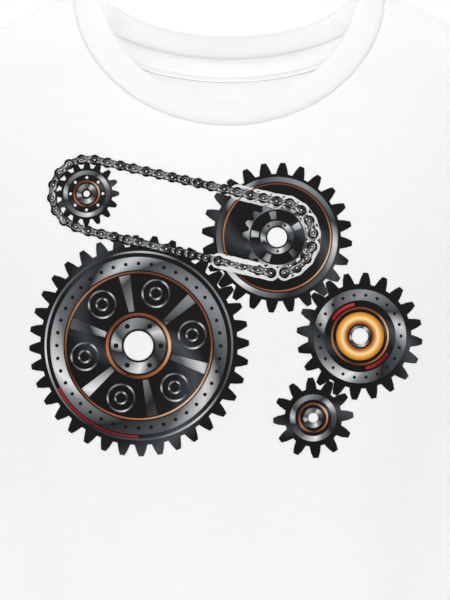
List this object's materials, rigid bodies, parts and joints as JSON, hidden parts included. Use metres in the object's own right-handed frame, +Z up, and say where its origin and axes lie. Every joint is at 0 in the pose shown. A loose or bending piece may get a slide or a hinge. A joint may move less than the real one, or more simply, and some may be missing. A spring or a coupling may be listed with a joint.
{
  "type": "crew-neck t-shirt",
  "caption": "White short-sleeved crew-neck T-shirt in the shape it takes when worn, with a ribbed collar, turned-up hems and a printed machine motif on the chest.",
  "frame": {"origin": "midway between the neck ends of the two shoulder seams, where a wearer's shoulders or a hanger holds the shirt up", "axes": "+Z up, +Y towards the back, +X towards the wearer's left arm"},
  "size_m": [0.758, 0.206, 0.7321],
  "materials": {
    "jersey": "matte",
    "rib": "matte",
    "tape": "matte",
    "print": "satin"
  },
  "bodies": {
    "root": {"front_panel": "jersey", "back_panel": "jersey", "left_sleeve": "jersey", "right_sleeve": "jersey", "collar_rib": "rib", "neck_tape": "tape", "chest_print": "print"}
  },
  "joints": []
}
